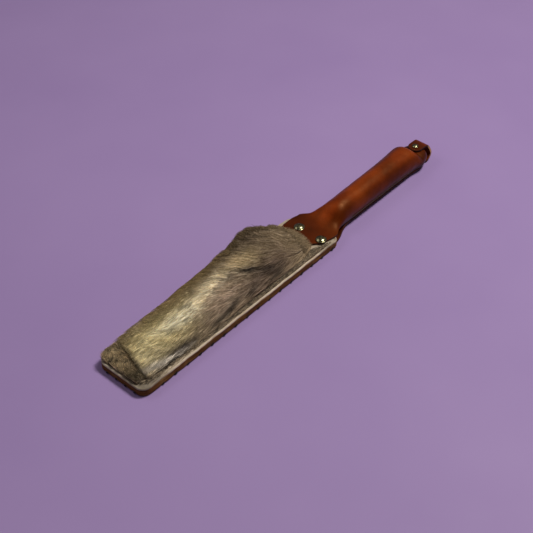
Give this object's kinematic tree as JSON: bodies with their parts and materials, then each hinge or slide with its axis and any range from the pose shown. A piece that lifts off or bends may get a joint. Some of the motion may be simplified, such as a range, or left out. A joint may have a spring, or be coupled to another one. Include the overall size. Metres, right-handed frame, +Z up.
{
  "type": "fly swatter",
  "caption": "Flat fur-faced leather fly swatter with a leather-wrapped round handle, riveted tabs and a small hanging loop.",
  "frame": {"origin": "middle of the swatter's length and width, on the surface that it lies on", "axes": "+X along the swatter from the blade's tip to the hanging loop, +Y to the blade's left side, +Z up out of the fur"},
  "size_m": [0.426, 0.0562, 0.0281],
  "materials": {
    "sole_leather": "burnished vegetable-tanned sole leather, tan brown cut edge",
    "hide": "natural undyed hide, cream, matt",
    "fur": "long animal hair, straw to grey brown, soft sheen",
    "fur_short": "short clipped animal hair, mottled grey brown",
    "dark_thread": "waxed dark brown thread",
    "tan_thread": "waxed tan thread",
    "wood": "plain turned hardwood",
    "handle_leather": "glossy chestnut leather",
    "strap_leather": "glossy chestnut leather with light tan cut edges",
    "nickel": "polished nickel-plated steel"
  },
  "bodies": {
    "swatter": {"outer_sole": "sole_leather", "inner_sole": "sole_leather", "hide_backing": "hide", "fur_main": "fur", "fur_tip": "fur_short", "sole_stitches": "dark_thread", "seam_stitches": "tan_thread", "handle_core": "wood", "handle_leather": "handle_leather", "flare_rivet_right_cap": "nickel", "flare_rivet_right_post": "nickel", "flare_rivet_left_cap": "nickel", "flare_rivet_left_post": "nickel", "butt_rivet_cap": "nickel", "butt_rivet_post": "nickel"},
    "loop": {"hanging_loop": "strap_leather"}
  },
  "joints": [
    {"name": "loop_swivel", "type": "hinge", "parent": "swatter", "child": "loop", "pos_m": [0.1962, -0.005, 0.0103], "axis": [0, 0, 1], "range_deg": [-35, 35]}
  ]
}
